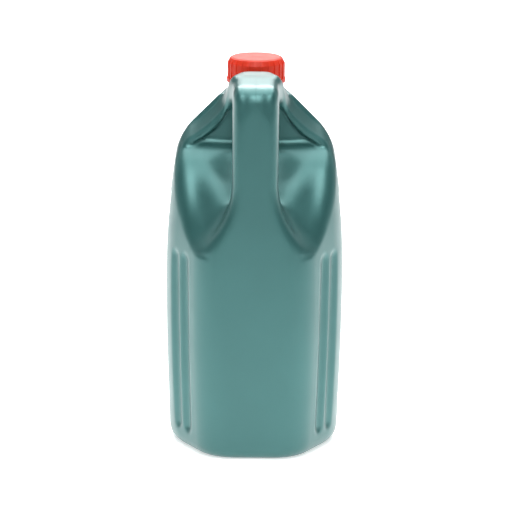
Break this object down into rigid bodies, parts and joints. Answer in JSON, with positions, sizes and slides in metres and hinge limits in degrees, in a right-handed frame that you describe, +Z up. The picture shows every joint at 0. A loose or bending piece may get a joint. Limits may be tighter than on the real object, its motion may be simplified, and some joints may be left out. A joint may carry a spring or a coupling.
{
  "type": "motor oil bottle",
  "caption": "Tall blow-moulded plastic jug for motor oil with a hollow grip handle, ribbed front corners, a threaded neck and a ribbed screw cap.",
  "frame": {"origin": "middle of the bounding box's underside, on the surface the bottle stands on", "axes": "+Z up, X across the bottle's thickness, handle face at -Y, pouring side at +Y"},
  "size_m": [0.1382, 0.2, 0.2953],
  "materials": {
    "bottle_plastic": "satin pearlescent teal polyethylene",
    "cap_plastic": "satin red polypropylene",
    "liner_foam": "smooth white foamed wad"
  },
  "bodies": {
    "bottle": {"bottle": "bottle_plastic", "tamper_band": "cap_plastic"},
    "liner": {"cap_liner": "liner_foam"},
    "cap": {"cap": "cap_plastic"}
  },
  "joints": [
    {"name": "cap_lift", "type": "slide", "parent": "bottle", "child": "liner", "axis": [0, 0, 1], "range_m": [0, 0.0064]},
    {"name": "cap_turn", "type": "hinge", "parent": "liner", "child": "cap", "pos_m": [0, 0.012, 0.2855], "axis": [0, 0, 1], "range_deg": [0, 540]}
  ],
  "couplings": [
    {"joint": "cap_lift", "follows": "cap_turn", "m_per_rad": 0.00066845}
  ]
}
